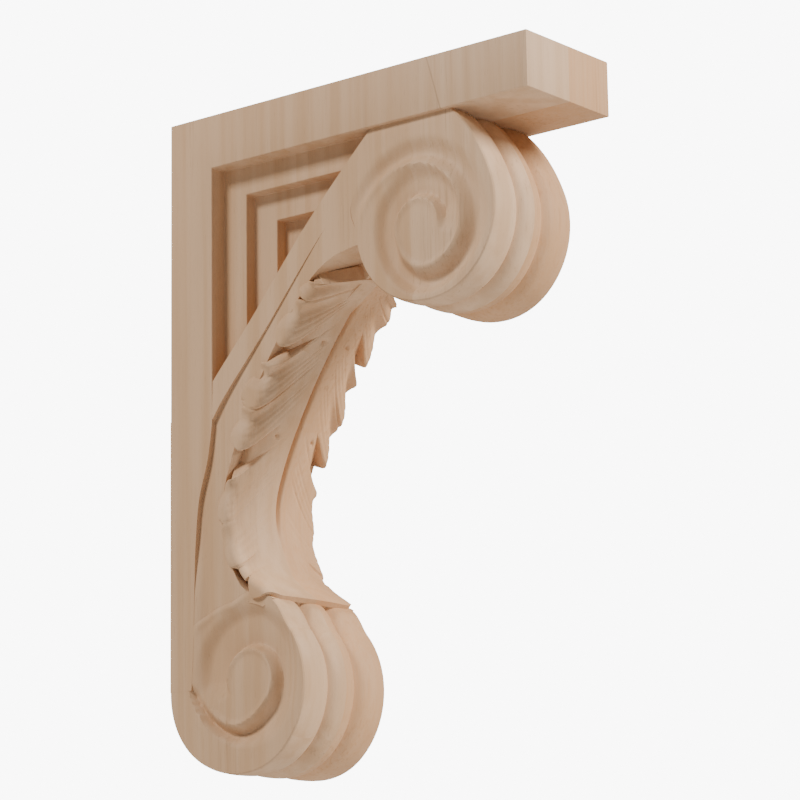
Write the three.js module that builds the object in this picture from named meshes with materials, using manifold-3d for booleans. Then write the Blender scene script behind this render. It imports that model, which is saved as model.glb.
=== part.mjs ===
// Carved wooden corbel bracket: one solid block with a level bar on an upright leg, two scrolls
// joined by a curved body, and an acanthus leaf down the front of that body.
// Millimetres. X runs across the width, the front looks toward -Y and Z is up.
// The origin is the middle of the flat back, which lies on the plane Y = 0.

import * as THREE from "three";
import { mergeVertices } from "three/addons/utils/BufferGeometryUtils.js";
import Module from "manifold-3d";

const wasm = await Module();
wasm.setup();

// Block: the level bar and the upright leg
const blockHeight = 305;
const blockDepth = 208;
const blockWidth = 60;
const barThickness = 25.4;
const legThickness = 25.8;

// Stepped recess sunk in each side, in the corner of bar and leg
const recessDepth = 9;
const recessStepDepth = 6;
const recessStepWidth = 13.5;
const recessSteps = 3;

// Where the leg's full width runs out round the lower scroll
const legTailSweep = 78;
const legTailInner = 0.66;

// Scrolls at the front of the bar and at the foot of the leg
const scrollRadius = 38.5;
const scrollInset = 2.4;
const barOverhang = 21.3;
const scrollDrop = 6.4;
const flareRise = 8;
const flareFrom = 20;
const flareFull = 68;
const flareFadesFrom = 95;
const flareEnds = 150;
const creaseDepth = 3.4;
const scrollFacets = 52;

// Spiral cut in the sides of each scroll
const spiralStartRadius = 16.5;
const spiralGrowth = 13.3;
const spiralDepth = 3.6;
const spiralInnerSlope = 6.4;
const spiralOuterSlope = 4.6;
const upperEyeBack = 3;
const upperEyeDrop = 4.6;
const lowerEyeForward = 7.5;
const lowerEyeRise = 1.6;

// Border along the back of the curved body
const bandWidth = 10.6;
const bandInset = 0.8;

// Leaf on the front of the curved body
const leafRise = 8.5;
const leafLap = 7;
const notchDepth = 9;
const lobeThickness = 2.6;
const midribDepth = 1.6;
const leafStations = 62;
const leafColumns = 10;

const half = blockWidth / 2;
const bodyHalf = half - scrollInset;
const barUnderside = blockHeight - barThickness;

// Working distances: how far one shape runs into the next, a step between flush faces, and the weld
const buried = 1.5;
const seamStep = 0.1;
const weldDistance = 0.02;

// Scroll centres, as (Y, Z) with Z up from the foot of the block
const upperScroll = new THREE.Vector2(
  barOverhang + scrollRadius - blockDepth,
  barUnderside - scrollDrop - scrollRadius,
);
const lowerScroll = new THREE.Vector2(-scrollRadius, scrollRadius);

// Each scroll's rim and spiral: the eye's centre, where the valley starts, how far it turns and which way
const scrolls = [
  {
    centre: upperScroll,
    flares: true,
    eye: new THREE.Vector2(upperScroll.x + upperEyeBack, upperScroll.y - upperEyeDrop),
    startDegrees: 195,
    turns: 1,
    way: 1,
  },
  {
    centre: lowerScroll,
    flares: false,
    eye: new THREE.Vector2(lowerScroll.x - lowerEyeForward, lowerScroll.y + lowerEyeRise),
    startDegrees: 216,
    turns: 1.1,
    way: -1,
  },
];

// A point on a ray from a scroll's centre: 0 degrees is the front, 90 degrees is up
function aroundScroll(centre, radius, degrees) {
  const angle = THREE.MathUtils.degToRad(degrees);
  return new THREE.Vector2(
    centre.x - radius * Math.cos(angle),
    centre.y + radius * Math.sin(angle),
  );
}

// A point given as shares of the way from the lower scroll to the upper one
function betweenScrolls(forward, up) {
  return new THREE.Vector2(
    THREE.MathUtils.lerp(lowerScroll.x, upperScroll.x, forward),
    THREE.MathUtils.lerp(lowerScroll.y, upperScroll.y, up),
  );
}

// The crest of the leaf in side view, from its root under the upper scroll to the lip on the lower one
const crest = new THREE.SplineCurve([
  aroundScroll(upperScroll, scrollRadius * 0.93, 205),
  betweenScrolls(0.533, 0.902),
  betweenScrolls(0.405, 0.84),
  betweenScrolls(0.205, 0.682),
  betweenScrolls(0.05, 0.513),
  betweenScrolls(0.004, 0.395),
  betweenScrolls(0.07, 0.272),
  aroundScroll(lowerScroll, scrollRadius * 1.19, 59.5),
]);
const crestLength = crest.getLength();

// The back edge of the curved body, from the underside of the bar down into the leg
const bodyBack = new THREE.SplineCurve([
  new THREE.Vector2(upperScroll.x + scrollRadius * 0.76 - buried, barUnderside + buried),
  betweenScrolls(0.43, 1.065),
  betweenScrolls(0.09, 0.845),
  betweenScrolls(-0.13, 0.705),
  new THREE.Vector2(-legThickness * 0.45, lowerScroll.y + (upperScroll.y - lowerScroll.y) * 0.61),
]);

// The front edge of the leg's flank, which narrows from the foot of the body down to the lower scroll
const flankFront = new THREE.SplineCurve([
  new THREE.Vector2(-legThickness, betweenScrolls(0, 0.615).y),
  new THREE.Vector2(-legThickness * 0.9, betweenScrolls(0, 0.532).y),
  new THREE.Vector2(-legThickness * 0.68, betweenScrolls(0, 0.442).y),
  new THREE.Vector2(-legThickness * 0.6, betweenScrolls(0, 0.35).y),
  new THREE.Vector2(-legThickness * 0.56, betweenScrolls(0, 0.18).y),
  aroundScroll(lowerScroll, scrollRadius * legTailInner, 180),
]);

const smooth = (from, to, value) => THREE.MathUtils.smoothstep(value, from, to);

function toSolid(geometry) {
  const bare = geometry.clone();
  bare.deleteAttribute("normal");
  bare.deleteAttribute("uv");
  const welded = mergeVertices(bare, 1e-4);
  return new wasm.Manifold(
    new wasm.Mesh({
      numProp: 3,
      vertProperties: new Float32Array(welded.attributes.position.array),
      triVerts: new Uint32Array(welded.index.array),
    }),
  );
}

function toGeometry(solid) {
  const mesh = solid.simplify(weldDistance).getMesh();
  const geometry = new THREE.BufferGeometry();
  geometry.setAttribute("position", new THREE.BufferAttribute(mesh.vertProperties, 3));
  geometry.setIndex(new THREE.BufferAttribute(mesh.triVerts, 1));
  return geometry;
}

// Extrudes a side-view outline of (Y, Z) points across the width, from one X to another
function acrossWidth(outline, fromX, toX) {
  const geometry = new THREE.ExtrudeGeometry(new THREE.Shape(outline), {
    depth: toX - fromX,
    bevelEnabled: false,
  });
  const turn = new THREE.Matrix4().makeBasis(
    new THREE.Vector3(0, 1, 0),
    new THREE.Vector3(0, 0, 1),
    new THREE.Vector3(1, 0, 0),
  );
  return toSolid(geometry.applyMatrix4(turn).translate(fromX, 0, 0));
}

// Joins rings of equal count into one closed solid, with a fan over each end
function throughRings(rings) {
  const count = rings[0].length;
  const positions = rings.flat().flatMap((point) => point.toArray());
  const middle = (ring) => ring.reduce((sum, p) => sum.add(p), new THREE.Vector3()).divideScalar(count);
  positions.push(...middle(rings[0]).toArray(), ...middle(rings.at(-1)).toArray());
  const firstPole = rings.length * count;
  const lastRing = (rings.length - 1) * count;
  const faces = [];
  for (let i = 0; i < rings.length - 1; i += 1) {
    for (let j = 0; j < count; j += 1) {
      const a = i * count + j;
      const b = i * count + ((j + 1) % count);
      faces.push(a, b, b + count, a, b + count, a + count);
    }
  }
  for (let j = 0; j < count; j += 1) {
    const next = (j + 1) % count;
    faces.push(firstPole, next, j);
    faces.push(firstPole + 1, lastRing + j, lastRing + next);
  }
  const geometry = new THREE.BufferGeometry();
  geometry.setAttribute("position", new THREE.Float32BufferAttribute(positions, 3));
  geometry.setIndex(faces);
  return toSolid(geometry);
}

function rectangle(back, front, bottom, top) {
  return [
    new THREE.Vector2(front, bottom),
    new THREE.Vector2(back, bottom),
    new THREE.Vector2(back, top),
    new THREE.Vector2(front, top),
  ];
}

// Side-view outline of the leg's flank, which runs out as a thinning rim round the lower scroll
function flankOutline() {
  const samples = 12;
  const top = flankFront.getPoint(0);
  const outline = [new THREE.Vector2(0, top.y)];
  for (let i = 0; i <= samples; i += 1) {
    outline.push(aroundScroll(lowerScroll, scrollRadius, 180 + (i / samples) * legTailSweep));
  }
  for (let i = samples - 1; i >= 0; i -= 1) {
    const share = i / samples;
    const radius = scrollRadius * THREE.MathUtils.lerp(legTailInner, 1, share);
    outline.push(aroundScroll(lowerScroll, radius, 180 + share * legTailSweep));
  }
  for (let i = samples - 1; i >= 0; i -= 1) {
    outline.push(flankFront.getPoint(i / samples));
  }
  return outline;
}

// Bar, leg and the web in their corner, which is sunk in steps from both sides
function makeFrame() {
  const web = [
    new THREE.Vector2(-buried, barUnderside + buried),
    new THREE.Vector2(-buried, betweenScrolls(0, 0.6).y),
    betweenScrolls(-0.1, 0.62),
    betweenScrolls(0.25, 0.8),
    betweenScrolls(0.75, 0.98),
    new THREE.Vector2(upperScroll.x, barUnderside + buried),
  ];
  const bar = acrossWidth(rectangle(0, -blockDepth, barUnderside, blockHeight), -half, half);
  const leg = acrossWidth(rectangle(0, -legThickness, flankFront.getPoint(0).y, blockHeight), -half, half);
  const post = rectangle(0, -legThickness * 0.6, lowerScroll.y, betweenScrolls(0, 0.65).y);
  let frame = bar.add(leg).add(acrossWidth(post, buried - bodyHalf, bodyHalf - buried));
  frame = frame.add(acrossWidth(web, -half, half));
  for (let step = 0; step < recessSteps; step += 1) {
    const floor = half - recessDepth - step * recessStepDepth;
    const back = -legThickness - step * recessStepWidth;
    const top = barUnderside - step * recessStepWidth;
    const pocket = rectangle(back, upperScroll.x - scrollRadius, betweenScrolls(0, 0.45).y, top);
    for (const [from, to] of [[-half - buried, -floor], [floor, half + buried]]) {
      frame = frame.subtract(acrossWidth(pocket, from, to));
    }
  }
  frame = frame.add(acrossWidth(flankOutline(), bodyHalf - buried, half));
  return frame.add(acrossWidth(flankOutline(), -half, buried - bodyHalf));
}

// Radius of a scroll's rim: round, and flaring up to the bar above the upper scroll
function rimRadius(degrees, flares) {
  if (!flares || degrees < flareFrom) {
    return scrollRadius;
  }
  const rise = flareRise * Math.min((degrees - flareFrom) / (flareFull - flareFrom), 1.4) ** 2;
  return scrollRadius + rise * (1 - smooth(flareFadesFrom, flareEnds, degrees));
}

// Half of a scroll's front from its side to the middle: a flat band, a crease and a central bead
function scrollProfile() {
  const third = bodyHalf / 3;
  const side = [
    [bodyHalf, 0],
    [bodyHalf, 1],
    [bodyHalf - 1, 0.2],
    [bodyHalf - third * 0.9, 0],
    [third + 2.8, 0.25],
    [third + 1.2, 1.3],
    [third, creaseDepth],
    [third - 1.4, 1.5],
    [third * 0.55, 0.5],
  ];
  const points = side.map(([x, sunk], index) => new THREE.Vector2(index === 0 ? 0 : scrollRadius - sunk, x));
  const mirrored = points.map((point) => new THREE.Vector2(point.x, -point.y)).reverse();
  return [...points, new THREE.Vector2(scrollRadius, 0), ...mirrored];
}

function makeScrollDrum({ centre, flares }) {
  const geometry = new THREE.LatheGeometry(scrollProfile(), scrollFacets);
  const position = geometry.attributes.position;
  for (let i = 0; i < position.count; i += 1) {
    const across = position.getY(i);
    const radius = Math.hypot(position.getX(i), position.getZ(i));
    const degrees = THREE.MathUtils.radToDeg(Math.atan2(position.getX(i), position.getZ(i)));
    const grown = radius * (rimRadius(degrees, flares) / scrollRadius);
    const point = aroundScroll(centre, grown, degrees);
    position.setXYZ(i, across, point.x, point.y);
  }
  return toSolid(geometry);
}

// The spiral valley on one side of a scroll
function makeSpiralCut({ eye, startDegrees, turns, way }, side) {
  const stations = 44;
  const rings = [];
  for (let i = 0; i <= stations; i += 1) {
    const share = i / stations;
    const degrees = startDegrees + way * share * turns * 360;
    const radius = spiralStartRadius + spiralGrowth * share * turns;
    const swell = Math.max(0.12, smooth(0, 0.16, share) * (1 - smooth(0.84, 1, share)));
    const section = [
      [-spiralInnerSlope * swell, 0.6],
      [-0.53 * spiralInnerSlope * swell, -0.55 * spiralDepth * swell],
      [0, -spiralDepth * swell],
      [0.57 * spiralOuterSlope * swell, -0.75 * spiralDepth * swell],
      [spiralOuterSlope * swell, 0.6],
    ];
    const ring = section.map(([out, height]) => {
      const point = aroundScroll(eye, radius + out, degrees);
      return new THREE.Vector3(side * (bodyHalf + height), point.x, point.y);
    });
    rings.push(side * way > 0 ? ring : ring.reverse());
  }
  return throughRings(rings);
}

// The point of the leaf's bed under a station of the crest, and the direction out of the wood there
function bedAt(station) {
  const share = THREE.MathUtils.clamp(station / crestLength, 0, 1);
  const tangent = crest.getTangentAt(share);
  const out = new THREE.Vector2(tangent.y, -tangent.x);
  const rise = leafRise * (1 - 0.8 * smooth(0.86, 1, share));
  const bed = crest.getPointAt(share).addScaledVector(out, -rise);
  return { bed, out, rise };
}

// Curved body between the scrolls: its front is the leaf's bed, its back the edge seen over the recess
function makeBody() {
  const frontSamples = 30;
  const backSamples = 14;
  const outline = [];
  for (let i = 0; i <= frontSamples; i += 1) {
    outline.push(bedAt((crestLength * i) / frontSamples).bed);
  }
  outline.push(aroundScroll(lowerScroll, scrollRadius * 0.8, 70));
  outline.push(aroundScroll(lowerScroll, scrollRadius * 0.5, 150));
  outline.push(new THREE.Vector2(-buried * 2, lowerScroll.y + scrollRadius));
  outline.push(new THREE.Vector2(-buried * 2, bodyBack.getPoint(1).y));
  for (let i = backSamples; i >= 0; i -= 1) {
    outline.push(bodyBack.getPoint(i / backSamples));
  }
  const top = barUnderside + buried * 2;
  outline.push(new THREE.Vector2(bodyBack.getPoint(0).x, top));
  outline.push(new THREE.Vector2(aroundScroll(upperScroll, scrollRadius, 68).x + buried * 2, top));
  outline.push(aroundScroll(upperScroll, scrollRadius * 0.5, 60));
  return acrossWidth(outline, seamStep - bodyHalf, bodyHalf - seamStep);
}

// Raised border along the back edge of the body, running down into the leg
function makeBand() {
  const samples = 18;
  const back = [];
  const front = [];
  for (let i = 0; i <= samples; i += 1) {
    const share = i / samples;
    const point = bodyBack.getPoint(share);
    const tangent = bodyBack.getTangent(share);
    back.push(point);
    front.push(new THREE.Vector2(point.x + tangent.y * bandWidth, point.y - tangent.x * bandWidth));
  }
  const kept = front.filter((point) => point.y < barUnderside - scrollRadius * 0.72);
  const foot = [
    new THREE.Vector2(-legThickness * 0.5, betweenScrolls(0, 0.45).y),
    new THREE.Vector2(-legThickness * 0.4, lowerScroll.y + scrollRadius * 0.8),
    new THREE.Vector2(-buried, lowerScroll.y + scrollRadius * 0.8),
    new THREE.Vector2(-buried, back.at(-1).y),
  ];
  const outline = [...kept, ...foot, ...back.reverse()];
  return acrossWidth(outline, bandInset - half, half - bandInset);
}

// Lobes of the leaf along one edge: where each begins and ends, as shares of the crest, how far it
// reaches toward the side, and how deep the notch after it is
const lobes = [
  { from: 0.04, to: 0.123, reach: 0.8, notch: 0.35 },
  { from: 0.123, to: 0.266, reach: 1.1, notch: 1 },
  { from: 0.298, to: 0.423, reach: 1.4, notch: 0.3 },
  { from: 0.423, to: 0.543, reach: 1.2, notch: 1 },
  { from: 0.597, to: 0.715, reach: 0.9, notch: 0.3 },
  { from: 0.715, to: 0.838, reach: 0.9, notch: 0.9 },
  { from: 0.88, to: 1.01, reach: 0.8, notch: 0.2 },
];

// How full the leaf's edge is at a share of the crest: 1 on a lobe, down to 0 in a deep notch
function edgeAt(share) {
  const lobe = lobes.find((each) => share >= each.from && share < each.to);
  if (!lobe) {
    return { fullness: share < lobes[0].from ? 0.5 : 0.1, reach: 0.2 };
  }
  const along = (share - lobe.from) / (lobe.to - lobe.from);
  const before = lobes[lobes.indexOf(lobe) - 1];
  const opening = before ? before.notch : 0.5;
  const rising = 1 - opening * (1 - smooth(0, 0.24, along));
  const falling = 1 - lobe.notch * smooth(0.7, 0.97, along);
  return { fullness: rising * falling, reach: lobe.reach };
}

// Leaf: a grid that starts at the midrib, crosses the bed and laps round its corner onto the side
function makeLeaf() {
  const corner = bodyHalf;
  const rings = [];
  for (let i = 0; i <= leafStations; i += 1) {
    const share = i / leafStations;
    const { fullness, reach } = edgeAt(share);
    const edge = corner - notchDepth + fullness * (notchDepth + leafLap * reach);
    const flank = [];
    for (let j = 0; j <= leafColumns; j += 1) {
      const across = edge * (j / leafColumns);
      const lag = crestLength * 0.075 * Math.sqrt(j / leafColumns) * (1 - share ** 3);
      const { bed, out, rise } = bedAt(share * crestLength + lag);
      const crown = rise * (1 - 0.5 * (across / corner) ** 2);
      const sunken = crown * (1 - 0.85 * smooth(0.45, 1, across / corner));
      const lobed = THREE.MathUtils.lerp(sunken, crown, fullness);
      const groove = midribDepth * (1 - smooth(0, 0.09, j / leafColumns));
      const ends = i === 0 || i === leafStations || j === leafColumns;
      const thickness = ends ? -buried : Math.max(lobed - groove, lobeThickness * fullness);
      const turned = smooth(corner - 3, corner + 3, across) * (Math.PI / 2);
      const sideways = Math.min(across, corner) + thickness * Math.sin(turned);
      const outward = thickness * Math.cos(turned) - Math.max(0, across - corner);
      const point = bed.clone().addScaledVector(out, outward);
      flank.push(new THREE.Vector3(Math.min(sideways, half), point.x, point.y));
    }
    const inner = bedAt(share * crestLength);
    const core = inner.bed.clone().addScaledVector(inner.out, -buried * 3);
    flank.push(new THREE.Vector3(corner * 0.5, core.x, core.y));
    const mirrored = flank.slice(1).map((p) => new THREE.Vector3(-p.x, p.y, p.z));
    rings.push([...mirrored.reverse(), ...flank].reverse());
  }
  return throughRings(rings);
}

function makeCorbel() {
  let solid = makeFrame().add(makeBody()).add(makeBand());
  for (const scroll of scrolls) {
    solid = solid.add(makeScrollDrum(scroll));
  }
  solid = solid.add(makeLeaf());
  for (const scroll of scrolls) {
    solid = solid.subtract(makeSpiralCut(scroll, -1)).subtract(makeSpiralCut(scroll, 1));
  }
  return toGeometry(solid).translate(0, 0, -blockHeight / 2);
}

const wood = new THREE.MeshStandardMaterial({ color: 0xc8a684, roughness: 0.7, flatShading: true });
const corbel = new THREE.Mesh(makeCorbel(), wood);
corbel.name = "corbel";

const group = new THREE.Group();
group.add(corbel);

export default group;
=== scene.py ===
import math

import bpy
import numpy as np
from mathutils import Matrix, Vector


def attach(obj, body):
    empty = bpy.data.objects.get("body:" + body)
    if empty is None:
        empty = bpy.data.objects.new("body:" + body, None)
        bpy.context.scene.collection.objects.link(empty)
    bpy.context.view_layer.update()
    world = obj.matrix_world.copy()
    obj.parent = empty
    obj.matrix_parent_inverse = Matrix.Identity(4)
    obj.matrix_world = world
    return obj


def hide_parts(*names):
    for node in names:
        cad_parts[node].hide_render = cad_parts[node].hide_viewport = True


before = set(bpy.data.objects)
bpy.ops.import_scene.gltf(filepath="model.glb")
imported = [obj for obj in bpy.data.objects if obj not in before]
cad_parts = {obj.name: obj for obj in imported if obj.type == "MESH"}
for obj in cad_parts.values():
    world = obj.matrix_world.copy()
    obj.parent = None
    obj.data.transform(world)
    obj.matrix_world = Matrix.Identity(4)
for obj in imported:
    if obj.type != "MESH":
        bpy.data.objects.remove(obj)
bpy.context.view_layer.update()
bpy.ops.object.select_all(action="DESELECT")

# Sizes are in millimetres here and become metres as points are written.
# X runs across the width, the front looks toward -Y, and Z starts at the foot of the block.

block = {
    "height": 305.0,
    "depth": 208.0,
    "width": 60.0,
    "bar": 25.4,
    "leg": 25.8,
    "edge": 0.5,
}
half = block["width"] / 2
barUnderside = block["height"] - block["bar"]

scroll = {
    "radius": 38.5,
    "inset": 2.4,
    "overhang": 21.3,
    "drop": 6.4,
    "flare": 8.0,
    "spread": 6.0,
    "fuller": 1.2,
    "lipFlare": 4.0,
    "crease": 3.4,
    "creasePower": 3.2,
    "bandEdge": 0.35,
    "edge": 1.0,
    "hiddenEdge": 0.25,
    "edgeRings": 4,
    "segments": 144,
    "sideRings": 44,
    "frontRings": 44,
}
# where each swelling of the rim begins and ends, in degrees from the front and up over the top
rimAngles = {
    "flareFrom": 20,
    "flareWhole": 48,
    "flareMost": 1.4,
    "flareFades": (95, 150),
    "spreadGrows": (95, 128),
    "spreadFades": (165, 186),
    "fullerGrows": (-100, -50),
    "fullerFades": (70, 110),
    "lipGrows": (40, 63),
    "lipFades": (76, 96),
    "creaseEnds": (150, 180),
    "creaseBegins": (196, 240),
}
bodyHalf = half - scroll["inset"]
gap = 0.03  # faces that would lie flush are set this far apart, so that they join cleanly
flush = 0.02  # and no carving comes nearer than this to the block's own side
upperCentre = np.array(
    [
        scroll["overhang"] + scroll["radius"] - block["depth"],
        barUnderside - scroll["drop"] - scroll["radius"],
    ]
)
lowerCentre = np.array([-scroll["radius"], scroll["radius"]])


def activate(piece):
    bpy.ops.object.select_all(action="DESELECT")
    piece.select_set(True)
    bpy.context.view_layer.objects.active = piece


def readPoints(piece):
    points = np.empty(len(piece.data.vertices) * 3)
    piece.data.vertices.foreach_get("co", points)
    return points.reshape(-1, 3)


def writePoints(piece, points):
    moved = np.array(points) * 0.001
    moved[:, 2] -= block["height"] * 0.0005  # the origin is the middle of the back
    piece.data.vertices.foreach_set("co", moved.ravel())
    piece.data.update()


def faceOutward(piece):
    activate(piece)
    bpy.ops.object.mode_set(mode="EDIT")
    bpy.ops.mesh.select_all(action="SELECT")
    bpy.ops.mesh.normals_make_consistent(inside=False)
    bpy.ops.object.mode_set(mode="OBJECT")


def smoothStep(low, high, value):
    share = np.clip((np.asarray(value, float) - low) / (high - low), 0, 1)
    return share * share * (3 - 2 * share)


def blend(first, second, share):
    return first + (second - first) * share


def bump(value, middle, spread):
    return np.exp(-(((value - middle) / spread) ** 2))


def aroundScroll(centre, radius, degrees):
    # 0 degrees is the front, 90 degrees is up
    angle = np.radians(degrees)
    return np.stack(
        [centre[0] - radius * np.cos(angle), centre[1] + radius * np.sin(angle)], axis=-1
    )


def betweenScrolls(forward, up):
    return np.array(
        [
            blend(lowerCentre[0], upperCentre[0], forward),
            blend(lowerCentre[1], upperCentre[1], up),
        ]
    )


def throughPoints(knots, count):
    # a smooth curve through the knots
    knots = np.array(knots, float)
    last = len(knots) - 1
    place = np.linspace(0, last, count)
    start = np.minimum(place.astype(int), last - 1)
    t = (place - start)[:, None]
    before = knots[np.maximum(start - 1, 0)]
    here = knots[start]
    after = knots[start + 1]
    beyond = knots[np.minimum(start + 2, last)]
    leave = (after - before) / 2
    arrive = (beyond - here) / 2
    return (
        (2 * here - 2 * after + leave + arrive) * t**3
        + (-3 * here + 3 * after - 2 * leave - arrive) * t**2
        + leave * t
        + here
    )


def extrudedOutline(name, outline, fromX, toX):
    # a flat face with the outline's corners, extruded across the width
    bpy.ops.mesh.primitive_circle_add(vertices=len(outline), radius=1, fill_type="NGON")
    piece = bpy.context.object
    piece.name = name
    points = np.column_stack([np.full(len(outline), fromX), outline])
    writePoints(piece, points)
    bpy.ops.object.mode_set(mode="EDIT")
    bpy.ops.mesh.select_all(action="SELECT")
    bpy.ops.mesh.extrude_region_move(
        TRANSFORM_OT_translate={"value": ((toX - fromX) * 0.001, 0, 0)}
    )
    bpy.ops.mesh.select_all(action="SELECT")
    bpy.ops.mesh.normals_make_consistent(inside=False)
    bpy.ops.object.mode_set(mode="OBJECT")
    return piece


def secondSkin(piece):
    # extruded in place, so the new half of the points can be laid out as the sheet's other face
    activate(piece)
    bpy.ops.object.mode_set(mode="EDIT")
    bpy.ops.mesh.select_all(action="SELECT")
    bpy.ops.mesh.extrude_region_move(TRANSFORM_OT_translate={"value": (0, 0, 0)})
    bpy.ops.object.mode_set(mode="OBJECT")
    points = readPoints(piece) * 1000
    points[:, 2] += block["height"] / 2
    return points


def rectangle(back, front, bottom, top):
    return [(front, bottom), (back, bottom), (back, top), (front, top)]


def combine(piece, tool, operation):
    activate(piece)
    cut = piece.modifiers.new("combine", "BOOLEAN")
    cut.operation = operation
    cut.solver = "MANIFOLD"
    cut.object = tool
    bpy.ops.object.modifier_apply(modifier=cut.name)
    activate(tool)
    bpy.ops.object.delete()


def roundEdges(piece, width, segments=2):
    activate(piece)
    bpy.ops.object.mode_set(mode="EDIT")
    bpy.ops.mesh.select_all(action="SELECT")
    bpy.ops.mesh.remove_doubles(threshold=0.00001)
    bpy.ops.mesh.dissolve_limited(angle_limit=math.radians(0.5))
    bpy.ops.object.mode_set(mode="OBJECT")
    bevel = piece.modifiers.new("soft edges", "BEVEL")
    bevel.width = width * 0.001
    bevel.segments = segments
    bevel.limit_method = "ANGLE"
    bevel.angle_limit = math.radians(30)
    bpy.ops.object.modifier_apply(modifier=bevel.name)


recess = {
    "depth": 9.0,
    "stepDepth": 6.0,
    "stepWidth": 13.5,
    "steps": 3,
}
# the line on each side where the carved flank meets the leg's own face
flankKnots = [
    (-block["leg"], 159.2),
    (-23.2, 143.0),
    (-17.9, 125.3),
    (-15.8, 107.0),
    (-15.0, 89.0),
    (-14.2, 60.0),
    (-13.0, 39.0),
]


def makeFrame():
    back = 3.0  # the pieces of the frame overlap by this much
    bar = rectangle(0, -block["depth"], barUnderside, block["height"])
    frameBlock = extrudedOutline("frameBlock", bar, -half, half)
    leg = rectangle(0, -block["leg"], flankKnots[0][1], block["height"] - back)
    combine(frameBlock, extrudedOutline("leg", leg, -half, half), "UNION")
    web = [
        (-back, barUnderside + back),
        (-back, betweenScrolls(0, 0.6)[1]),
        betweenScrolls(-0.1, 0.62),
        betweenScrolls(0.25, 0.8),
        betweenScrolls(0.75, 0.98),
        (upperCentre[0], barUnderside + back),
    ]
    combine(frameBlock, extrudedOutline("web", web, -half, half), "UNION")
    for step in range(recess["steps"]):
        floor = half - recess["depth"] - step * recess["stepDepth"]
        pocket = rectangle(
            -block["leg"] - step * recess["stepWidth"],
            upperCentre[0] - scroll["radius"],
            betweenScrolls(0, 0.45)[1],
            barUnderside - step * recess["stepWidth"],
        )
        for low, high in ((-half - back, -floor), (floor, half + back)):
            combine(frameBlock, extrudedOutline("pocket", pocket, low, high), "DIFFERENCE")
    roundEdges(frameBlock, block["edge"])
    return frameBlock


# A valley winds out from each eye. Each row is (sweep in degrees, value): how far its foot is from
# the eye, how deep it is, how much of its outer slope stays level, and how wide its inner wall and
# its outer slope are.
volutes = {
    "upper": {
        "centre": upperCentre,
        "eye": upperCentre + np.array([3.0, -4.6]),
        "start": 340.0,
        "way": 1,
        "foot": [
            (0, 14.2), (50, 14.8), (116, 15.5), (170, 15.5), (222, 16.4), (257, 20.0),
            (284, 23.4), (305, 25.2), (326, 26.6), (348, 28.3), (370, 29.8), (410, 31.0),
            (433, 32.0), (457, 33.0), (483, 34.1), (508, 35.3), (531, 36.5), (551, 37.6),
            (720, 44.0),
        ],
        "depths": [
            (0, 0), (45, 3.1), (180, 3.4), (270, 4.8), (360, 4.8), (400, 3.2), (500, 2.4), (556, 0),
        ],
        "holds": [(0, 0.2), (60, 0.5), (230, 0.4), (330, 0.1), (560, 0.1)],
        "walls": [(0, 2.6), (190, 2.8), (270, 5.6), (380, 6.0), (440, 5.4), (540, 3.2)],
        "slopes": [
            (0, 9.0), (120, 13.0), (250, 8.0), (330, 7.0), (380, 9.5), (440, 8.0), (475, 7.2),
            (510, 6.0), (560, 4.0),
        ],
        "flares": True,
        "raised": False,
    },
    "lower": {
        "centre": lowerCentre,
        "eye": lowerCentre + np.array([-7.4, 3.2]),
        "start": 209.0,
        "way": -1,
        "foot": [
            (0, 14.6), (40, 16.0), (114, 16.3), (202, 16.6), (240, 17.2), (272, 18.8),
            (300, 22.5), (323, 26.3), (348, 29.0), (368, 31.0), (382, 33.0), (440, 38.0),
            (720, 44.0),
        ],
        "depths": [(0, 0), (30, 2.6), (70, 4.0), (250, 4.6), (320, 4.2), (352, 2.2), (392, 0)],
        "holds": [(0, 0.3), (60, 0.6), (130, 0.6), (200, 0.2), (300, 0), (400, 0)],
        "walls": [(0, 2.4), (60, 3.0), (230, 3.2), (300, 4.6), (350, 4.2), (390, 3.0)],
        "slopes": [
            (0, 8.0), (28, 15.0), (55, 16.5), (78, 18.5), (115, 18.5), (202, 14.0), (272, 12.0),
            (323, 4.5), (352, 1.5), (400, 1.5),
        ],
        "flares": False,
        "raised": True,
    },
}
eyeDome = {"rise": 0.5, "radius": 15.0}
crestLip = {"rise": 0.9, "width": 1.3, "inside": 0.6}
rimLip = {"rise": 0.7, "width": 0.035, "share": 0.95, "grows": (60, 90), "fades": (130, 165)}
outerRing = {"grows": (150, 168), "fades": (205, 285), "edge": (-0.8, 1.4), "meetsRamp": (36, 42)}


def window(grows, fades, degrees):
    return smoothStep(*rimAngles[grows], degrees) * (1 - smoothStep(*rimAngles[fades], degrees))


def rimRadius(degrees, flares):
    climb = np.maximum(degrees - rimAngles["flareFrom"], 0) / rimAngles["flareWhole"]
    grown = scroll["flare"] * np.minimum(climb, rimAngles["flareMost"]) ** 2
    grown = grown * (1 - smoothStep(*rimAngles["flareFades"], degrees))
    # behind the flare the disc spreads a little way into the body
    grown = grown + scroll["spread"] * window("spreadGrows", "spreadFades", degrees)
    signed = (degrees + 180) % 360 - 180
    fuller = scroll["fuller"] * window("fullerGrows", "fullerFades", signed)
    towardLip = scroll["lipFlare"] * window("lipGrows", "lipFades", degrees)
    return scroll["radius"] + fuller + (grown if flares else towardLip)


def rimDrop(across):
    # how far the rim lies below its full radius: two bands, two creases and the bead between
    third = bodyHalf / 3
    away = np.abs(across)
    inner = scroll["crease"] * np.clip(away / third, 0, 1) ** scroll["creasePower"]
    place = np.clip((away - third) / (bodyHalf - third), 0, 1)
    outer = scroll["crease"] * (1 - place) ** 7 + scroll["bandEdge"] * smoothStep(0.72, 1, place)
    return np.where(away < third, inner, outer)


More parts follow.
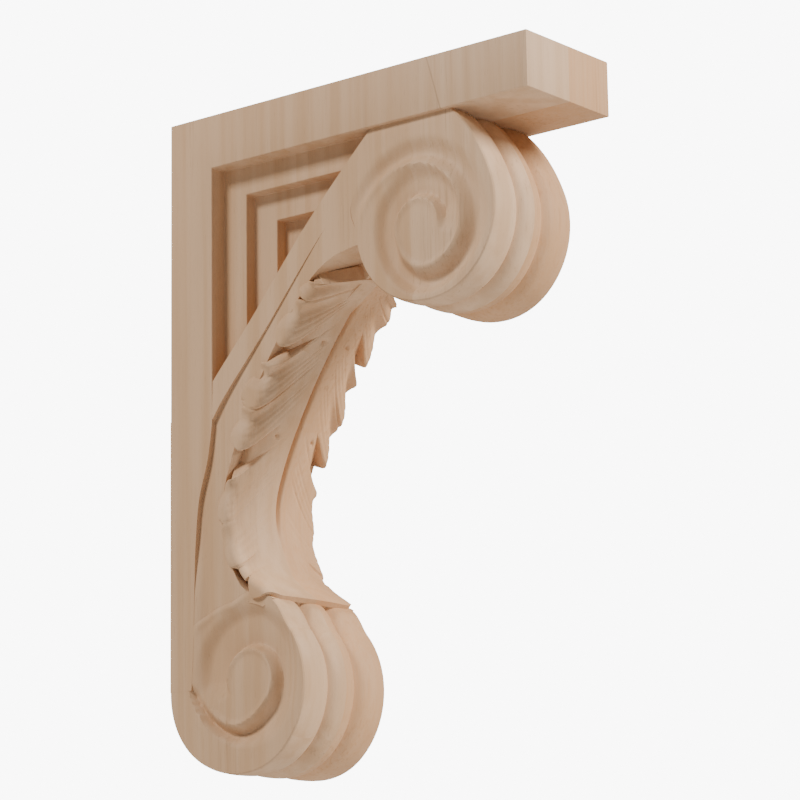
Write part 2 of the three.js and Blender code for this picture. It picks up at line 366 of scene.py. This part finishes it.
def volutePlace(spot, volute):
    # distance from the eye, angle there, and the sweep along the valley for its first turn
    away = spot - volute["eye"]
    radius = np.hypot(away[..., 0], away[..., 1])
    degrees = np.degrees(np.arctan2(away[..., 1], -away[..., 0]))
    sweep = ((degrees - volute["start"]) * volute["way"]) % 360
    return radius, degrees, sweep


def alongSweep(volute, key, sweep):
    curve = throughPoints(volute[key], 600) if key == "foot" else np.array(volute[key], float)
    return np.interp(sweep, curve[:, 0], curve[:, 1])


def valleyDepth(spot, volute):
    # a steep wall drops from the inner side to the foot, and a long slope climbs again outside it
    radius, degrees, firstSweep = volutePlace(spot, volute)
    depth = np.zeros_like(radius)
    lip = np.zeros_like(radius)
    for turn in (0, 1):
        sweep = firstSweep + 360 * turn
        foot = alongSweep(volute, "foot", sweep)
        deepest = alongSweep(volute, "depths", sweep)
        wall = alongSweep(volute, "walls", sweep)
        slope = alongSweep(volute, "slopes", sweep)
        if turn == 0:
            nextFoot = alongSweep(volute, "foot", sweep + 360)
            nextDeep = alongSweep(volute, "depths", sweep + 360)
            room = nextFoot - alongSweep(volute, "walls", sweep + 360) - foot
            slope = np.where(nextDeep > 0.3, np.minimum(slope, np.maximum(room, 3)), slope)
        inner = 1 - smoothStep(0, 1, (foot - radius) / wall)
        climb = np.clip((radius - foot) / slope, 0, 1)
        hold = alongSweep(volute, "holds", sweep)
        outer = 1 - 0.25 * climb - 0.75 * smoothStep(hold, 1, climb)
        depth = np.maximum(depth, deepest * np.where(radius < foot, inner, outer))
        top = bump(radius, foot - wall - crestLip["inside"], crestLip["width"])
        lip = np.maximum(lip, crestLip["rise"] * top * np.clip(deepest / 2, 0, 1))
    return depth, lip


ramp = {
    "reach": 8.0,
    "full": 78.0,
    "gone": 112.0,
    "legLine": -15.0,
    "lap": 0.8,
    "sunk": 1.0,
    "thick": 4.0,
    "cuts": 11,
}


def towardLeg(spot):
    # low down the flank climbs back to the leg's own face, so the step along the leg fades out
    knots = np.array(flankKnots[::-1])
    legLine = np.interp(spot[..., 1], knots[:, 1], knots[:, 0])
    rise = smoothStep(legLine - ramp["reach"], legLine + 0.7, spot[..., 0])
    return rise * (1 - smoothStep(ramp["full"], ramp["gone"], spot[..., 1]))


def outsideLevel(spot, volute):
    # on the lower scroll, the ring outside the valley comes up to the leg's own face
    if not volute["raised"]:
        return np.zeros(spot.shape[:-1])
    away = spot - volute["centre"]
    degrees = np.degrees(np.arctan2(away[..., 1], -away[..., 0])) % 360
    radius, _, sweep = volutePlace(spot, volute)
    turned = np.where(sweep < 180, sweep + 360, sweep)
    foot = alongSweep(volute, "foot", turned)
    inner, outer = outerRing["edge"]
    ring = smoothStep(foot + inner, foot + outer, radius)
    ring = ring * smoothStep(*outerRing["grows"], degrees)
    ring = ring * (1 - smoothStep(*outerRing["fades"], degrees))
    share = smoothStep(*outerRing["meetsRamp"], spot[..., 1])
    return (scroll["inset"] - gap) * blend(ring, towardLeg(spot), share)


def makeScroll(name, volute):
    rings = 2 * scroll["sideRings"] + scroll["frontRings"]
    bpy.ops.mesh.primitive_uv_sphere_add(segments=scroll["segments"], ring_count=rings, radius=1)
    piece = bpy.context.object
    piece.name = name
    ball = readPoints(piece)  # its poles become the eyes, its middle rings the rim
    ring = np.rint(np.arccos(np.clip(ball[:, 2], -1, 1)) / math.pi * rings)
    degrees = np.degrees(np.arctan2(ball[:, 1], ball[:, 0])) % 360
    side = np.where(ring <= rings / 2, 1.0, -1.0)
    fromPole = np.minimum(ring, rings - ring)
    onSide = fromPole <= scroll["sideRings"]

    rim = rimRadius(degrees, volute["flares"])
    hidden = smoothStep(60, 100, degrees) * (1 - smoothStep(180, 200, degrees))
    if volute["raised"]:
        hidden = smoothStep(60, 80, degrees) * (1 - smoothStep(220, 290, degrees))
    edge = blend(scroll["edge"], scroll["hiddenEdge"], hidden)
    rimSpot = aroundScroll(volute["centre"], rim - edge, degrees)
    share = np.clip(fromPole / scroll["sideRings"], 0, 1)[:, None]
    sideSpot = blend(volute["eye"], rimSpot, share)
    depth, lip = valleyDepth(sideSpot, volute)
    fade = 1 - smoothStep(0.93, 1, share[:, 0])
    fromEye = volutePlace(sideSpot, volute)[0]
    dome = eyeDome["rise"] * (1 - smoothStep(0, eyeDome["radius"], fromEye))
    outside = outsideLevel(sideSpot, volute)
    sideX = bodyHalf - depth * fade + lip * fade + dome + outside
    if volute["raised"]:  # the hollow has a thin raised lip round its top
        along = smoothStep(*rimLip["grows"], degrees) * (1 - smoothStep(*rimLip["fades"], degrees))
        sideX = sideX + rimLip["rise"] * along * bump(share[:, 0], rimLip["share"], rimLip["width"])
    sideX = np.minimum(sideX, half - flush)

    # the first rings past the side turn the edge, and the rest cross the front
    widest = bodyHalf + outsideLevel(rimSpot, volute)
    ringsPast = fromPole - scroll["sideRings"]
    rounding = np.clip(ringsPast / scroll["edgeRings"], 0, 1)
    turn = rounding * math.pi / 2
    halfFront = scroll["frontRings"] / 2 - scroll["edgeRings"]
    flat = np.clip((ringsPast - scroll["edgeRings"]) / halfFront, 0, 1)
    onEdge = widest - edge * (1 - np.cos(turn))
    across = np.where(rounding < 1, onEdge, (widest - edge) * (1 - flat))
    creases = rimDrop(across * bodyHalf / widest)
    if volute["raised"]:  # they run out where the rim meets the flat back
        begins = smoothStep(*rimAngles["creaseBegins"], degrees)
        creases = creases * blend(1, begins, smoothStep(*rimAngles["creaseEnds"], degrees))
    drop = np.where(rounding < 1, scroll["bandEdge"], creases)
    frontSpot = aroundScroll(volute["centre"], rim - edge * (1 - np.sin(turn)) - drop, degrees)

    spot = np.where(onSide[:, None], sideSpot, frontSpot)
    x = side * np.where(onSide, sideX, across)
    writePoints(piece, np.column_stack([x, spot]))
    faceOutward(piece)
    return piece


leaf = {
    "bed": 9.0,
    "crown": 3.0,
    "lift": 1.8,
    "cornerRadius": 4.0,
    "rows": 230,
    "columns": 38,
    "midrib": 3.0,
    "lip": 1.8,
    "lipThickness": 2.7,
    "veinDepth": 0.34,
    "backWall": 1.5,
    "leastDepth": 6.0,
    "core": 0.72,
    "coreSink": 1.2,
    "sideGap": 0.05,
    "eyeRadius": 1.1,
    "eyeDepth": 1.8,
}
# each lobe: where it starts and ends along the leaf's edge, how far its tip reaches from the midrib
# round the corner, how far the notch after it cuts back, how strongly it is folded, where the fold
# fades toward the midrib, and how far back and how deep the pocket after it is
lobes = [
    {"from": 0.150, "to": 0.198, "tip": 35.5, "notch": 29.0, "fold": 0.6, "fades": (7, 22)},
    {"from": 0.198, "to": 0.332, "tip": 36.8, "notch": 23.0, "fold": 0.9, "fades": (8, 26)},
    {"from": 0.372, "to": 0.492, "tip": 39.5, "notch": 35.5, "fold": 1.2, "fades": (13, 27)},
    {"from": 0.492, "to": 0.602, "tip": 37.8, "notch": 23.0, "fold": 0.8, "fades": (10, 26)},
    {"from": 0.662, "to": 0.762, "tip": 35.6, "notch": 33.0, "fold": 0.8, "fades": (24, 31)},
    {"from": 0.762, "to": 0.870, "tip": 35.4, "notch": 31.0, "fold": 0.5, "fades": (24, 31)},
    {"from": 0.906, "to": 1.200, "tip": 36.0, "notch": 35.0, "fold": 0.0, "fades": (24, 31)},
]
lobes[1]["pocket"] = (21.5, 3.4)
lobes[3]["pocket"] = (21.5, 3.4)
lobes[5]["pocket"] = (31.5, 0.8)
# across each vein, where it meets the edge within its lobe and how strong it is
veins = [(0.0, 1.2), (0.5, 0.8), (0.66, 0.8), (0.84, 0.7)]
veinWidth = 0.0045
# where each vein leaves the midrib, against where it reaches the edge
veinEdges = [0.15, 0.20, 0.335, 0.37, 0.56, 0.60, 0.70, 0.76, 0.89, 1.0]
veinRoots = [0.05, 0.085, 0.125, 0.17, 0.345, 0.405, 0.535, 0.60, 0.80, 1.0]
leafEyes = [(0.280, 8.0), (0.539, 12.0), (0.481, 36.5), (0.760, 34.5)]

crestKnots = [
    aroundScroll(upperCentre, scroll["radius"] * 0.93, 205),
    betweenScrolls(0.533, 0.902),
    betweenScrolls(0.405, 0.84),
    betweenScrolls(0.205, 0.682),
    betweenScrolls(0.05, 0.513),
    betweenScrolls(0.004, 0.395),
    betweenScrolls(0.07, 0.272),
    aroundScroll(lowerCentre, scroll["radius"] * 1.19, 59.5),
]
crestLine = throughPoints(crestKnots, 2000)
crestSteps = np.concatenate([[0], np.cumsum(np.linalg.norm(np.diff(crestLine, axis=0), axis=1))])
crestLength = crestSteps[-1]
crestTangents = np.gradient(crestLine, axis=0)
crestTangents /= np.linalg.norm(crestTangents, axis=1)[:, None]


def onCrest(share):
    # the crest's point there and the direction out of the wood
    along = np.clip(share, 0, 1) * crestLength
    point = np.stack([np.interp(along, crestSteps, crestLine[:, k]) for k in (0, 1)], axis=-1)
    tangent = np.stack([np.interp(along, crestSteps, crestTangents[:, k]) for k in (0, 1)], axis=-1)
    tangent /= np.linalg.norm(tangent, axis=-1)[..., None]
    return point, np.stack([tangent[..., 1], -tangent[..., 0]], axis=-1)


def bedDepth(share):
    return leaf["bed"] * (1 - 0.72 * smoothStep(0.9, 1, share))


bodyBackKnots = [
    (upperCentre[0] + scroll["radius"] * 0.76 - 1.5, barUnderside + 1.5),
    betweenScrolls(0.43, 1.065),
    betweenScrolls(0.09, 0.845),
    betweenScrolls(-0.13, 0.705),
    (-block["leg"] * 0.45, blend(lowerCentre[1], upperCentre[1], 0.61)),
]
band = {
    "width": 10.6,
    "lap": 0.3,
    "topLevel": -0.25,
    "rises": 0.85,
    "samples": 60,
}


def alongBack(inside):
    # the body's back edge, moved forward into the body by a distance
    line = throughPoints(bodyBackKnots, band["samples"])
    tangent = np.gradient(line, axis=0)
    tangent /= np.linalg.norm(tangent, axis=1)[:, None]
    return line + np.column_stack([tangent[:, 1], -tangent[:, 0]]) * inside


# how far the body reaches into the leg, the bar and the two scrolls
body = {
    "intoLeg": -4.0,
    "intoBar": 4.0,
    "behindUpper": 8.0,
    "intoLower": 0.98,
    "intoUpper": 0.95,
    "samples": 90,
}


def makeBody():
    share = np.linspace(0, 1, body["samples"])
    point, out = onCrest(share)
    bed = point - out * bedDepth(share)[:, None]
    lowerRadius = scroll["radius"] * body["intoLower"]
    overDrum = aroundScroll(lowerCentre, lowerRadius, np.linspace(66, 150, 30))
    leg = [
        (body["intoLeg"], lowerCentre[1] + scroll["radius"] * 0.6),
        (body["intoLeg"], betweenScrolls(0, 0.61)[1]),
    ]
    back = alongBack(band["lap"])[::-1]  # just inside the band's own back
    barLevel = barUnderside + body["intoBar"]
    top = [(back[-1][0], barLevel), (upperCentre[0] - body["behindUpper"], barLevel)]
    degrees = np.linspace(84, 204, 30)
    upperRadius = rimRadius(degrees, True) * body["intoUpper"]
    underDrum = aroundScroll(upperCentre, upperRadius, degrees)
    outline = np.vstack([bed, overDrum, leg, back, top, underDrum])
    return extrudedOutline("body", outline, gap - bodyHalf, bodyHalf - gap)


def makeRamp(side):
    bpy.ops.mesh.primitive_cube_add(size=2)
    piece = bpy.context.object
    piece.name = "ramp"
    bpy.ops.object.mode_set(mode="EDIT")
    bpy.ops.mesh.subdivide(number_cuts=ramp["cuts"])
    bpy.ops.object.mode_set(mode="OBJECT")
    box = (readPoints(piece) + 1) / 2
    # its foot follows the scroll's rim and sinks a little into it
    back = ramp["legLine"] + ramp["lap"]
    y = back - (ramp["reach"] + 2.0) * (1 - box[:, 1])
    rimTop = lowerCentre[1] + np.sqrt(scroll["radius"] ** 2 - (y - lowerCentre[0]) ** 2)
    z = blend(rimTop - ramp["sunk"], ramp["gone"] - 1, box[:, 2])
    level = (scroll["inset"] - gap) * towardLeg(np.column_stack([y, z])) - 0.04
    x = blend(bodyHalf - ramp["thick"], bodyHalf + level, box[:, 0])
    writePoints(piece, np.column_stack([side * x, y, z]))
    faceOutward(piece)
    return piece


def makeBand():
    line = alongBack(0)
    front = alongBack(band["width"])
    share = np.linspace(0, 1, band["samples"])
    level = bodyHalf + band["topLevel"] + band["rises"] * smoothStep(0.18, 0.4, share)
    level = blend(level, half - flush, smoothStep(0.35, 0.95, share))
    bpy.ops.mesh.primitive_grid_add(x_subdivisions=1, y_subdivisions=band["samples"] - 1, size=1)
    piece = bpy.context.object
    piece.name = "band"
    flat = readPoints(piece)
    row = np.rint((flat[:, 1] + 0.5) * (band["samples"] - 1)).astype(int)
    isFront = flat[:, 0] > 0
    spot = np.where(isFront[:, None], front[row], line[row])
    writePoints(piece, np.column_stack([level[row], spot]))
    both = secondSkin(piece)
    both[len(flat):, 0] *= -1
    writePoints(piece, both)
    faceOutward(piece)
    return piece


def makeFlank():
    front = throughPoints(flankKnots, 50)
    top = front[0][1] + 4
    outline = np.vstack([[(0, top), (-block["leg"], top)], front, [(0, front[-1][1])]])
    return extrudedOutline("flank", outline, -half, half)


def lobeEdge(u):
    # how far the leaf reaches round from the midrib, and the lobe and the place within it
    reach = np.full_like(u, 28.0)
    place = np.full_like(u, -1.0)
    fold = np.zeros_like(u)
    gap = np.zeros_like(u)
    fades = np.tile([24.0, 31.0], (len(u), 1))
    for lobe, before in zip(lobes, [None, *lobes]):
        touching = before is not None and before["to"] >= lobe["from"]
        opening = before["notch"] if touching else lobe["tip"] - 9
        inside = (u >= lobe["from"]) & (u < lobe["to"])
        v = np.clip((u - lobe["from"]) / (lobe["to"] - lobe["from"]), 0, 1)
        rising = np.sqrt(np.clip(1 - (1 - np.clip(v / 0.42, 0, 1)) ** 2.2, 0, 1))
        falling = np.sqrt(np.clip(1 - np.clip((v - 0.55) / 0.45, 0, 1) ** 2.4, 0, 1))
        front = blend(opening, lobe["tip"], rising)
        edge = np.where(v < 0.5, front, blend(lobe["notch"], lobe["tip"], falling))
        reach = np.where(inside, edge, reach)
        place = np.where(inside, v, place)
        fold = np.where(inside, lobe["fold"], fold)
        fades[inside] = lobe["fades"]
        if before is not None and "pocket" in before:
            pocket = (u >= before["to"]) & (u < lobe["from"])
            reach = np.where(pocket, before["pocket"][0], reach)
            gap = np.where(pocket, before["pocket"][1], gap)
    return reach, place, fold, gap, fades


def leafRelief(u, share, t, reach, place, fold, gap, fades):
    # height of the carving above the plain crowned leaf
    grown = smoothStep(0, 1, (t - fades[:, 0]) / (fades[:, 1] - fades[:, 0]))
    profile = (
        0.9 * bump(place, 0.05, 0.06)
        - 2.2 * bump(place, 0.30, 0.17)
        + 1.3 * smoothStep(0.45, 0.86, place)
        - 0.9 * smoothStep(0.93, 1.0, place)
    )
    relief = grown * fold * profile
    relief = relief - gap * smoothStep(12, 22, t)
    cuts = np.zeros_like(u)
    for lobe in lobes[:-1]:
        for middle, strength in veins:
            at = lobe["from"] + middle * (lobe["to"] - lobe["from"])
            cuts = cuts + strength * bump(u, at, veinWidth)
    fade = smoothStep(4, 10, t) * (1 - smoothStep(0.74, 0.93, t / reach))
    relief = relief - leaf["veinDepth"] * np.minimum(cuts, 1.4) * fade
    relief = relief - leaf["midrib"] * bump(t, 0, 0.9) * (1 - smoothStep(0.66, 0.84, share))
    for eyeShare, eyeT in leafEyes:
        away = np.hypot((share - eyeShare) * crestLength, t - eyeT)
        relief = relief - leaf["eyeDepth"] * bump(away, 0, leaf["eyeRadius"])
    return relief


def makeLeaf():
    rows = leaf["rows"]
    columns = leaf["columns"] + 2
    bpy.ops.mesh.primitive_grid_add(x_subdivisions=2 * columns, y_subdivisions=rows, size=2)
    piece = bpy.context.object
    piece.name = "leaf"
    flat = readPoints(piece)
    i = np.rint((flat[:, 1] + 1) / 2 * rows)
    j = np.rint(flat[:, 0] * columns)
    side = np.sign(j)
    j = np.abs(j)
    wallColumns = np.clip(j - leaf["columns"], 0, 2)
    j = np.minimum(j, leaf["columns"]) / leaf["columns"]
    firstWall = i == 0
    lastWall = i == rows
    u = lobes[0]["from"] + np.clip((i - 1) / (rows - 2), 0, 1) * (1 - lobes[0]["from"])
    reach, place, fold, gap, fades = lobeEdge(u)
    t = reach * (0.6 * j + 0.4 * j * j)  # closer together at the midrib
    root = np.interp(u, veinEdges, veinRoots)
    share = root + (u - root) * (1 - (1 - np.clip(t / 30, 0, 1)) ** 1.25)
    # the lip's corners are rounded off
    rounded = 0.03 * smoothStep(22, 32, t) + 0.03 * smoothStep(31, 38, t)
    share = share - smoothStep(0.9, 1, u) * rounded

    flatWidth = bodyHalf + leaf["lift"] - leaf["cornerRadius"]
    arc = leaf["cornerRadius"] * math.pi / 2
    turn = np.clip((t - flatWidth) / arc, 0, 1) * math.pi / 2
    down = np.maximum(t - flatWidth - arc, 0)
    crownDrop = leaf["crown"] * (np.minimum(t, flatWidth) / bodyHalf) ** 2
    crownDrop = crownDrop * (1 - 0.8 * smoothStep(0.84, 1, u))
    x = np.minimum(t, flatWidth) + leaf["cornerRadius"] * np.sin(turn)
    depth = crownDrop + leaf["cornerRadius"] * (1 - np.cos(turn)) + down

    height = leafRelief(u, share, t, reach, place, fold, gap, fades)
    sink = blend(leaf["bed"] + 1.0, leaf["lift"] + 1.6, smoothStep(24, 31, t))
    towardLip = smoothStep(0.88, 0.94, u)
    thickness = blend(8.0, leaf["lipThickness"], smoothStep(0.9, 1, u))
    sink = np.minimum(sink, blend(20.0, thickness * 0.85, towardLip))
    height = height - 0.9 * smoothStep(0.94, 1, t / reach) ** 2
    wallDrop = np.where(wallColumns == 2, sink, np.where(wallColumns == 1, 0.5 * sink, 0))
    height = height - wallDrop - np.where(lastWall, leaf["lip"], 0) - np.where(firstWall, 7.0, 0)
    surface = height + wallDrop
    coreX = np.maximum(np.minimum(x + (surface - thickness) * np.sin(turn), half - 1.5), 0)
    coreDepth = depth - (surface - thickness) * np.cos(turn)
    x = np.minimum(x + height * np.sin(turn), half - leaf["sideGap"])
    depth = depth - height * np.cos(turn)
    # nothing of the leaf comes through the body's back
    point, out = onCrest(share)
    fromBack = np.linalg.norm(point[:, None] - alongBack(0)[None], axis=2).min(axis=1)
    toBack = fromBack - leaf["backWall"]
    depth = np.minimum(depth, np.maximum(toBack, leaf["leastDepth"]))
    coreDeep = np.minimum(leaf["bed"] + leaf["coreSink"], toBack)
    spot = point - out * depth[:, None]
    writePoints(piece, np.column_stack([side * x, spot]))

    both = secondSkin(piece)
    both[len(flat):, 0] = side * blend(x * leaf["core"], coreX, towardLip)
    both[len(flat):, 1:] = point - out * blend(coreDeep, coreDepth, towardLip)[:, None]
    writePoints(piece, both)
    faceOutward(piece)
    return piece


def makeCorbel():
    corbel = makeFrame()
    print("frame made")
    combine(corbel, makeFlank(), "UNION")
    combine(corbel, makeBody(), "UNION")
    for side in (-1, 1):
        combine(corbel, makeRamp(side), "UNION")
    combine(corbel, makeBand(), "UNION")
    print("body and band made")
    for name, volute in volutes.items():
        combine(corbel, makeScroll(name + "Scroll", volute), "UNION")
    print("scrolls made")
    combine(corbel, makeLeaf(), "UNION")
    print("leaf made")
    corbel.name = "corbelCarved"
    activate(corbel)
    bpy.ops.object.shade_smooth_by_angle(angle=math.radians(38))
    return corbel


corbel = makeCorbel()
print("triangles", sum(len(face.vertices) - 2 for face in corbel.data.polygons))


class Wire:
    # an output socket that can be added, multiplied and fed on like a number
    def __init__(self, tree, socket=None):
        self.tree = tree
        self.socket = socket

    def node(self, kind, settings, sockets, output=0):
        made = self.tree.nodes.new(kind)
        for name, value in settings.items():
            setattr(made, name, value)
        for name, value in sockets.items():
            if isinstance(value, Wire):
                self.tree.links.new(value.socket, made.inputs[name])
            else:
                made.inputs[name].default_value = value
        return Wire(self.tree, made.outputs[output])

    def output(self, name):
        return Wire(self.tree, self.socket.node.outputs[name])

    def maths(self, operation, first, second):
        return self.node("ShaderNodeMath", {"operation": operation}, {0: first, 1: second})

    def __add__(self, other):
        return self.maths("ADD", self, other)

    def __radd__(self, other):
        return self.maths("ADD", other, self)

    def __sub__(self, other):
        return self.maths("SUBTRACT", self, other)

    def __rsub__(self, other):
        return self.maths("SUBTRACT", other, self)

    def __mul__(self, other):
        return self.maths("MULTIPLY", self, other)

    def __rmul__(self, other):
        return self.maths("MULTIPLY", other, self)

    def size(self):
        return self.maths("ABSOLUTE", self, 0)

    def over(self, level):
        return self.maths("GREATER_THAN", self, level)

    def between(self, low, high):
        settings = {"interpolation_type": "SMOOTHSTEP"}
        sockets = {"Value": self, "From Min": low, "From Max": high}
        return self.node("ShaderNodeMapRange", settings, sockets)

    def noise(self, scale, detail, roughness=0.5):
        sockets = {"Vector": self, "Scale": scale, "Detail": detail, "Roughness": roughness}
        return self.node("ShaderNodeTexNoise", {}, sockets)

    def mixed(self, share, other):
        settings = {"data_type": "RGBA"}
        return self.node("ShaderNodeMix", settings, {0: share, 6: self, 7: other}, 2)

    def stretched(self, stretch):
        return self.node("ShaderNodeVectorMath", {"operation": "MULTIPLY"}, {0: self, 1: stretch})


# colours, and where the boards meet, in metres from the back and up from the middle
wood = {
    "pale": (0.670, 0.440, 0.265, 1),
    "tan": (0.550, 0.325, 0.170, 1),
    "orange": (0.590, 0.310, 0.142, 1),
    "brown": (0.300, 0.165, 0.085, 1),
    "nearJoints": (0.070, 0.1415),
    "farJoints": (0.052, 0.118, 0.176),
    "slantTop": 0.154,
    "slantFrom": 0.1505,
    "slantLean": 0.288,
    "slantEnds": 0.127,
    "innerJoint": 0.1515,
    "glueLine": (0.0001, 0.0006),
    "bumpStrength": 0.18,
    "bumpDistance": 0.0003,
}


def makeWood():
    material = bpy.data.materials.new("bareWood")
    material.use_nodes = True
    tree = material.node_tree
    shader = tree.nodes["Principled BSDF"]
    place = Wire(tree).node("ShaderNodeTexCoord", {}, {}, "Object")
    across = place.node("ShaderNodeSeparateXYZ", {}, {0: place})
    deep = across.output("Y") * -1
    up = across.output("Z")

    # the block is glued up from staves: two halves, each of several boards
    onBar = up.over(wood["slantEnds"])
    slant = (wood["slantTop"] + (wood["slantFrom"] - up) * wood["slantLean"]) * onBar
    slant = slant + wood["innerJoint"] * (1 - onBar)
    near = (deep - slant).over(0)
    for joint in wood["nearJoints"]:
        near = near + deep.over(joint)
    far = deep.over(wood["farJoints"][0])
    for joint in wood["farJoints"][1:]:
        far = far + deep.over(joint)
    farHalf = across.over(0.0004)
    stave = near * (1 - farHalf) + (far + 4) * farHalf
    settings = {"noise_dimensions": "1D"}
    tint = stave.node("ShaderNodeTexWhiteNoise", settings, {"W": stave * 3.7 + 0.9})

    # grain runs up the block, shifted from stave to stave
    offsets = {"X": stave * 0.31, "Y": stave * 0.17, "Z": stave * 0.05}
    shift = stave.node("ShaderNodeCombineXYZ", {}, offsets)
    along = place.stretched((1, 1, 0.03))
    along = along.node("ShaderNodeVectorMath", {"operation": "ADD"}, {0: along, 1: shift})
    bands = along.noise(110, 3, 0.55)
    streaks = along.noise(620, 3, 0.6)
    hairs = along.noise(1900, 2, 0.6)
    patches = place.stretched((1, 1, 0.3)).noise(26, 2)
    pores = place.stretched((1, 1, 0.06)).noise(2600, 1).between(0.66, 0.76)

    paint = Wire(tree).node("ShaderNodeRGB", {}, {})
    paint.socket.default_value = wood["pale"]
    paint = paint.mixed(bands.between(0.35, 0.68) * 0.55 + tint * 0.45, wood["tan"])
    paint = paint.mixed(farHalf * (0.55 + streaks.between(0.4, 0.7) * 0.3), wood["orange"])
    darker = streaks.between(0.52, 0.78) * patches.between(0.42, 0.66) * 0.45
    paint = paint.mixed(darker, wood["brown"])
    paint = paint.mixed(hairs.between(0.55, 0.8) * 0.16 + pores * 0.22, wood["brown"])
    # the slanting join in the bar shows as a thin glue line
    line = 1 - (deep - slant).size().between(*wood["glueLine"])
    paint = paint.mixed(line * onBar * (1 - farHalf) * 0.4, wood["brown"])
    tree.links.new(paint.socket, shader.inputs["Base Color"])
    rough = 0.58 + streaks * 0.12 + pores * 0.1
    tree.links.new(rough.socket, shader.inputs["Roughness"])
    height = hairs * 0.5 + streaks * 0.5 - pores * 0.6
    sockets = {
        "Strength": wood["bumpStrength"],
        "Distance": wood["bumpDistance"],
        "Height": height,
    }
    relief = height.node("ShaderNodeBump", {}, sockets)
    tree.links.new(relief.socket, shader.inputs["Normal"])
    shader.inputs["Specular IOR Level"].default_value = 0.25
    return material


corbel.data.materials.clear()
corbel.data.materials.append(makeWood())
print("wood made")

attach(corbel, "root")
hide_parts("corbel")

studio = {
    "floorLevel": -0.9,
    "floorSize": 6.0,
    "worldStrength": 0.14,
    "backdropStrength": 9.0,
}
# each light: where it stands in metres, how wide its panel is and its power in watts
lights = {
    "keyLight": {"place": (-1.75, 0.45, 1.75), "size": 0.6, "power": 63.0},
    "frontLight": {"place": (0.8, -2.2, 1.25), "size": 0.9, "power": 108.0},
}

bpy.ops.mesh.primitive_plane_add(size=studio["floorSize"], location=(0, 0, 0))
floor = bpy.context.object
floor.name = "studioFloor"
for vertex in floor.data.vertices:
    vertex.co.z = studio["floorLevel"]
floorPaint = bpy.data.materials.new("paleFloor")
floorPaint.use_nodes = True
floorShader = floorPaint.node_tree.nodes["Principled BSDF"]
floorShader.inputs["Base Color"].default_value = (0.86, 0.86, 0.86, 1)
floorShader.inputs["Roughness"].default_value = 0.9
floor.data.materials.append(floorPaint)

for name, light in lights.items():
    bpy.ops.object.light_add(type="AREA", location=light["place"])
    lamp = bpy.context.object
    lamp.name = name
    lamp.data.size = light["size"]
    lamp.data.energy = light["power"]
    toCorbel = Vector((0, -0.1, 0)) - lamp.location
    lamp.rotation_euler = toCorbel.to_track_quat("-Z", "Y").to_euler()

world = bpy.data.worlds.new("studioWorld")
bpy.context.scene.world = world
world.use_nodes = True
worldNodes = world.node_tree.nodes
worldLinks = world.node_tree.links
worldNodes.clear()
soft = worldNodes.new("ShaderNodeBackground")
soft.inputs["Color"].default_value = (1, 1, 1, 1)
soft.inputs["Strength"].default_value = studio["worldStrength"]
seen = worldNodes.new("ShaderNodeBackground")
seen.inputs["Color"].default_value = (1, 1, 1, 1)
seen.inputs["Strength"].default_value = studio["backdropStrength"]
rays = worldNodes.new("ShaderNodeLightPath")
either = worldNodes.new("ShaderNodeMixShader")
output = worldNodes.new("ShaderNodeOutputWorld")
worldLinks.new(rays.outputs["Is Camera Ray"], either.inputs[0])
worldLinks.new(soft.outputs[0], either.inputs[1])
worldLinks.new(seen.outputs[0], either.inputs[2])
worldLinks.new(either.outputs[0], output.inputs[0])

cameraView = {
    "place": (-0.9991, -0.9228, -0.2658),
    "yaw": 50.92,
    "pitch": 12.08,
    "roll": -0.9,
    "lens": 2970 / 800 * 36,
}


def placeCamera():
    bpy.ops.object.camera_add(location=cameraView["place"])
    camera = bpy.context.object
    camera.name = "photoCamera"
    camera.data.lens = cameraView["lens"]
    camera.data.sensor_width = 36
    camera.data.clip_start = 0.01
    yaw = math.radians(cameraView["yaw"])
    pitch = math.radians(cameraView["pitch"])
    roll = math.radians(cameraView["roll"])
    ahead = Vector(
        (math.sin(yaw) * math.cos(pitch), math.cos(yaw) * math.cos(pitch), math.sin(pitch))
    )
    level = Vector((math.cos(yaw), -math.sin(yaw), 0))
    upright = level.cross(ahead)
    right = level * math.cos(roll) + upright * math.sin(roll)
    up = upright * math.cos(roll) - level * math.sin(roll)
    turned = Matrix((right, up, -ahead)).transposed()
    camera.rotation_euler = turned.to_euler()
    bpy.context.scene.camera = camera


placeCamera()
print("camera and light placed")
